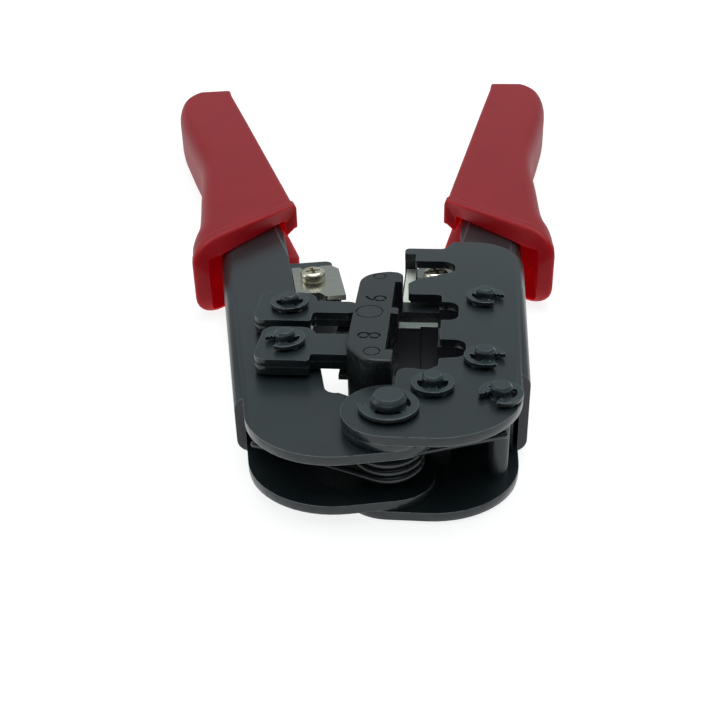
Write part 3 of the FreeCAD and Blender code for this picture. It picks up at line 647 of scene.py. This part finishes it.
def spring_path():
    """Centre line of the torsion spring: leg, three turns, leg."""
    pitch = 1.25
    low = 5.55
    left_foot = (-19.7, 3.2)
    right_foot = (15.9, 1.8)
    first = tangent_angle(left_foot, COIL_R, 1) - 2 * math.pi
    last = tangent_angle(right_foot, COIL_R, -1) + 6 * math.pi
    steps = 220
    coil = []
    for i in range(steps + 1):
        angle = first + (last - first) * i / steps
        height = low + pitch * (angle - first) / (2 * math.pi)
        coil.append(Vector((COIL_R * math.cos(angle), COIL_R * math.sin(angle), height)))
    start = Vector((*left_foot, low))
    end = Vector((*right_foot, coil[-1].z))
    leg_in = [start.lerp(coil[0], i / 12) for i in range(12)]
    leg_out = [coil[-1].lerp(end, i / 12) for i in range(1, 13)]
    return leg_in + coil + leg_out


def tube(path, radius, sides=20):
    """Rings around a path, with rounded ends."""
    count = len(path)
    rows = []
    across = Vector((0, 0, 1))
    for i, point in enumerate(path):
        along = (path[min(i + 1, count - 1)] - path[max(i - 1, 0)]).normalized()
        side = along.cross(across).normalized()
        up = side.cross(along)
        rings = [(0.0, radius)]
        if i in (0, count - 1):
            sign = -1 if i == 0 else 1
            rings = [(sign * radius * math.sin(a), radius * math.cos(a)) for a in section_angles(4)[:-1]]
            if i == 0:
                rings.reverse()
        for ahead, size in rings:
            row = []
            for s in range(sides):
                angle = 2 * math.pi * s / sides
                outward = side * math.cos(angle) + up * math.sin(angle)
                row.append(point + along * ahead + outward * size)
            rows.append(row)
    return loft(rows)


def make_spring():
    """Torsion spring in one fixed piece, in place of the CAD spring."""
    points, faces = tube(spring_path(), WIRE_R)
    spring = mesh_object("handle_spring", points, faces, [spring_wire()], 60.0)
    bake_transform(spring)
    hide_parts("torsion_spring")


# ----------------------------------------------------------------- the studio
def make_floor():
    """Wide pale floor just under the tool."""
    size = 6.0
    mesh = bpy.data.meshes.new("studio_floor")
    z = cad_low.z - 0.02 * MM
    corners = [(-size, -size, z), (size, -size, z), (size, size, z), (-size, size, z)]
    mesh.from_pydata(corners, [], [(0, 1, 2, 3)])
    mesh.materials.append(white_floor())
    floor = bpy.data.objects.new("studio_floor", mesh)
    bpy.context.scene.collection.objects.link(floor)


WORLD_FRONT = 0.05              # brightness of the surroundings by direction
WORLD_BACK = 0.44
WORLD_TOP = 0.75


def make_world():
    """Bright overhead, softer behind the tool, dark behind the camera."""
    world = bpy.data.worlds.new("studio")
    bpy.context.scene.world = world
    world.use_nodes = True
    tree = world.node_tree
    background = tree.nodes["Background"]
    direction = tree.nodes.new("ShaderNodeTexCoord")
    split = tree.nodes.new("ShaderNodeSeparateXYZ")
    tree.links.new(direction.outputs["Generated"], split.inputs[0])

    def ramp(axis, low, high, dim, bright):
        made = tree.nodes.new("ShaderNodeMapRange")
        made.interpolation_type = "SMOOTHSTEP"
        for key, value in zip(("From Min", "From Max", "To Min", "To Max"), (low, high, dim, bright)):
            made.inputs[key].default_value = value
        tree.links.new(split.outputs[axis], made.inputs["Value"])
        return made.outputs["Result"]

    total = tree.nodes.new("ShaderNodeMath")
    total.operation = "ADD"
    tree.links.new(ramp("Y", -0.5, 0.5, WORLD_FRONT, WORLD_BACK), total.inputs[0])
    tree.links.new(ramp("Z", 0.55, 0.95, 0.0, WORLD_TOP), total.inputs[1])
    tree.links.new(total.outputs["Value"], background.inputs["Strength"])
    background.inputs["Color"].default_value = (0.86, 0.97, 1.0, 1.0)


def make_light(name, place, target, size, power):
    """Square soft light aimed at a point."""
    data = bpy.data.lights.new(name, "AREA")
    data.size = size
    data.energy = power
    light = bpy.data.objects.new(name, data)
    bpy.context.scene.collection.objects.link(light)
    light.location = place
    light.rotation_euler = (Vector(target) - Vector(place)).to_track_quat("-Z", "Y").to_euler()


def make_lights():
    """Big soft box above and behind, weak fill from the left."""
    middle = (cad_low + cad_high) / 2
    make_light("soft_box", (0.05, 0.30, 0.90), middle, 0.6, 4.0)
    make_light("side_fill", (-0.7, 0.0, 0.35), middle, 0.4, 0.6)


CAMERA_PLACE = (8.45, -114.55, 85.54)   # in front of the head, above it
CAMERA_HEADING = 6.07                   # degrees from +Y towards -X
CAMERA_PITCH = 29.0                     # degrees below the horizon
CAMERA_ROLL = -1.4
CAMERA_LENS = 49.6


def make_camera():
    """Close camera that looks along the tool from the head."""
    data = bpy.data.cameras.new("camera")
    data.lens = CAMERA_LENS
    data.sensor_width = 36.0
    data.clip_start = 0.005
    data.clip_end = 20.0
    camera = bpy.data.objects.new("camera", data)
    bpy.context.scene.collection.objects.link(camera)
    camera.location = Vector(CAMERA_PLACE) * MM
    turn = Matrix.Rotation(math.radians(CAMERA_HEADING), 4, "Z")
    tilt = Matrix.Rotation(math.radians(90.0 - CAMERA_PITCH), 4, "X")
    roll = Matrix.Rotation(math.radians(CAMERA_ROLL), 4, "Z")
    camera.rotation_euler = (turn @ tilt @ roll).to_euler()
    bpy.context.scene.camera = camera


dress_cad_nodes()
make_grips()
make_spring()
make_floor()
make_world()
make_lights()
make_camera()
bpy.context.scene.view_settings.view_transform = "Standard"
